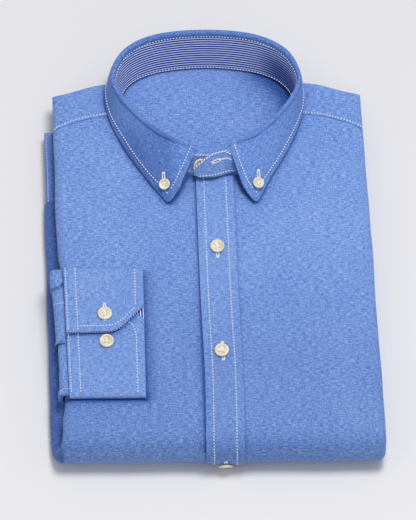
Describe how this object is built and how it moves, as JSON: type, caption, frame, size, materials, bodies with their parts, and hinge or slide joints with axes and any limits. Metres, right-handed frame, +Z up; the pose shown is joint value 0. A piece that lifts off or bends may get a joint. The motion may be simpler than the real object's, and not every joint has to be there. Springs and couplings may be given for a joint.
{
  "type": "folded dress shirt",
  "caption": "Button-down oxford dress shirt folded flat for a shelf, face up, with its tail turned under and one cuff brought round onto the chest.",
  "frame": {"origin": "centre of the bounding box's base: on the surface that the folded shirt lies on, under its middle", "axes": "+Y towards the collar, +X towards the wearer's left, +Z up, out of the shirt's front"},
  "size_m": [0.2624, 0.3774, 0.053],
  "materials": {
    "oxford_cloth": "mid-blue cotton oxford, blue warp and white weft, matt with a faint nap",
    "interlined_cloth": "the same oxford cloth over an interlining, smoother and a little paler",
    "striped_lining": "fine poplin, thin white and navy stripes on blue, matt",
    "ivory_button": "ivory polyester shell button, rimmed, soft gloss",
    "white_thread": "white sewing thread"
  },
  "bodies": {
    "root": {"front_left": "oxford_cloth", "front_right": "oxford_cloth", "placket": "interlined_cloth", "yoke": "oxford_cloth", "yoke_inside": "oxford_cloth", "back": "oxford_cloth", "folded_layers": "oxford_cloth", "sleeve_left": "oxford_cloth", "sleeve_right": "oxford_cloth", "sleeve_right_wrist": "oxford_cloth", "sleeve_placket": "oxford_cloth", "cuff_left": "interlined_cloth", "cuff_right": "interlined_cloth", "cuff_facing": "striped_lining", "collar_stand": "interlined_cloth", "collar_stand_lining": "striped_lining", "collar_leaf": "interlined_cloth", "button_front_1": "ivory_button", "button_front_2": "ivory_button", "button_front_3": "ivory_button", "button_front_4": "ivory_button", "button_front_5": "ivory_button", "button_cuff_1": "ivory_button", "button_cuff_2": "ivory_button", "button_collar_left": "ivory_button", "button_collar_right": "ivory_button", "button_stand": "ivory_button"}
  },
  "joints": []
}
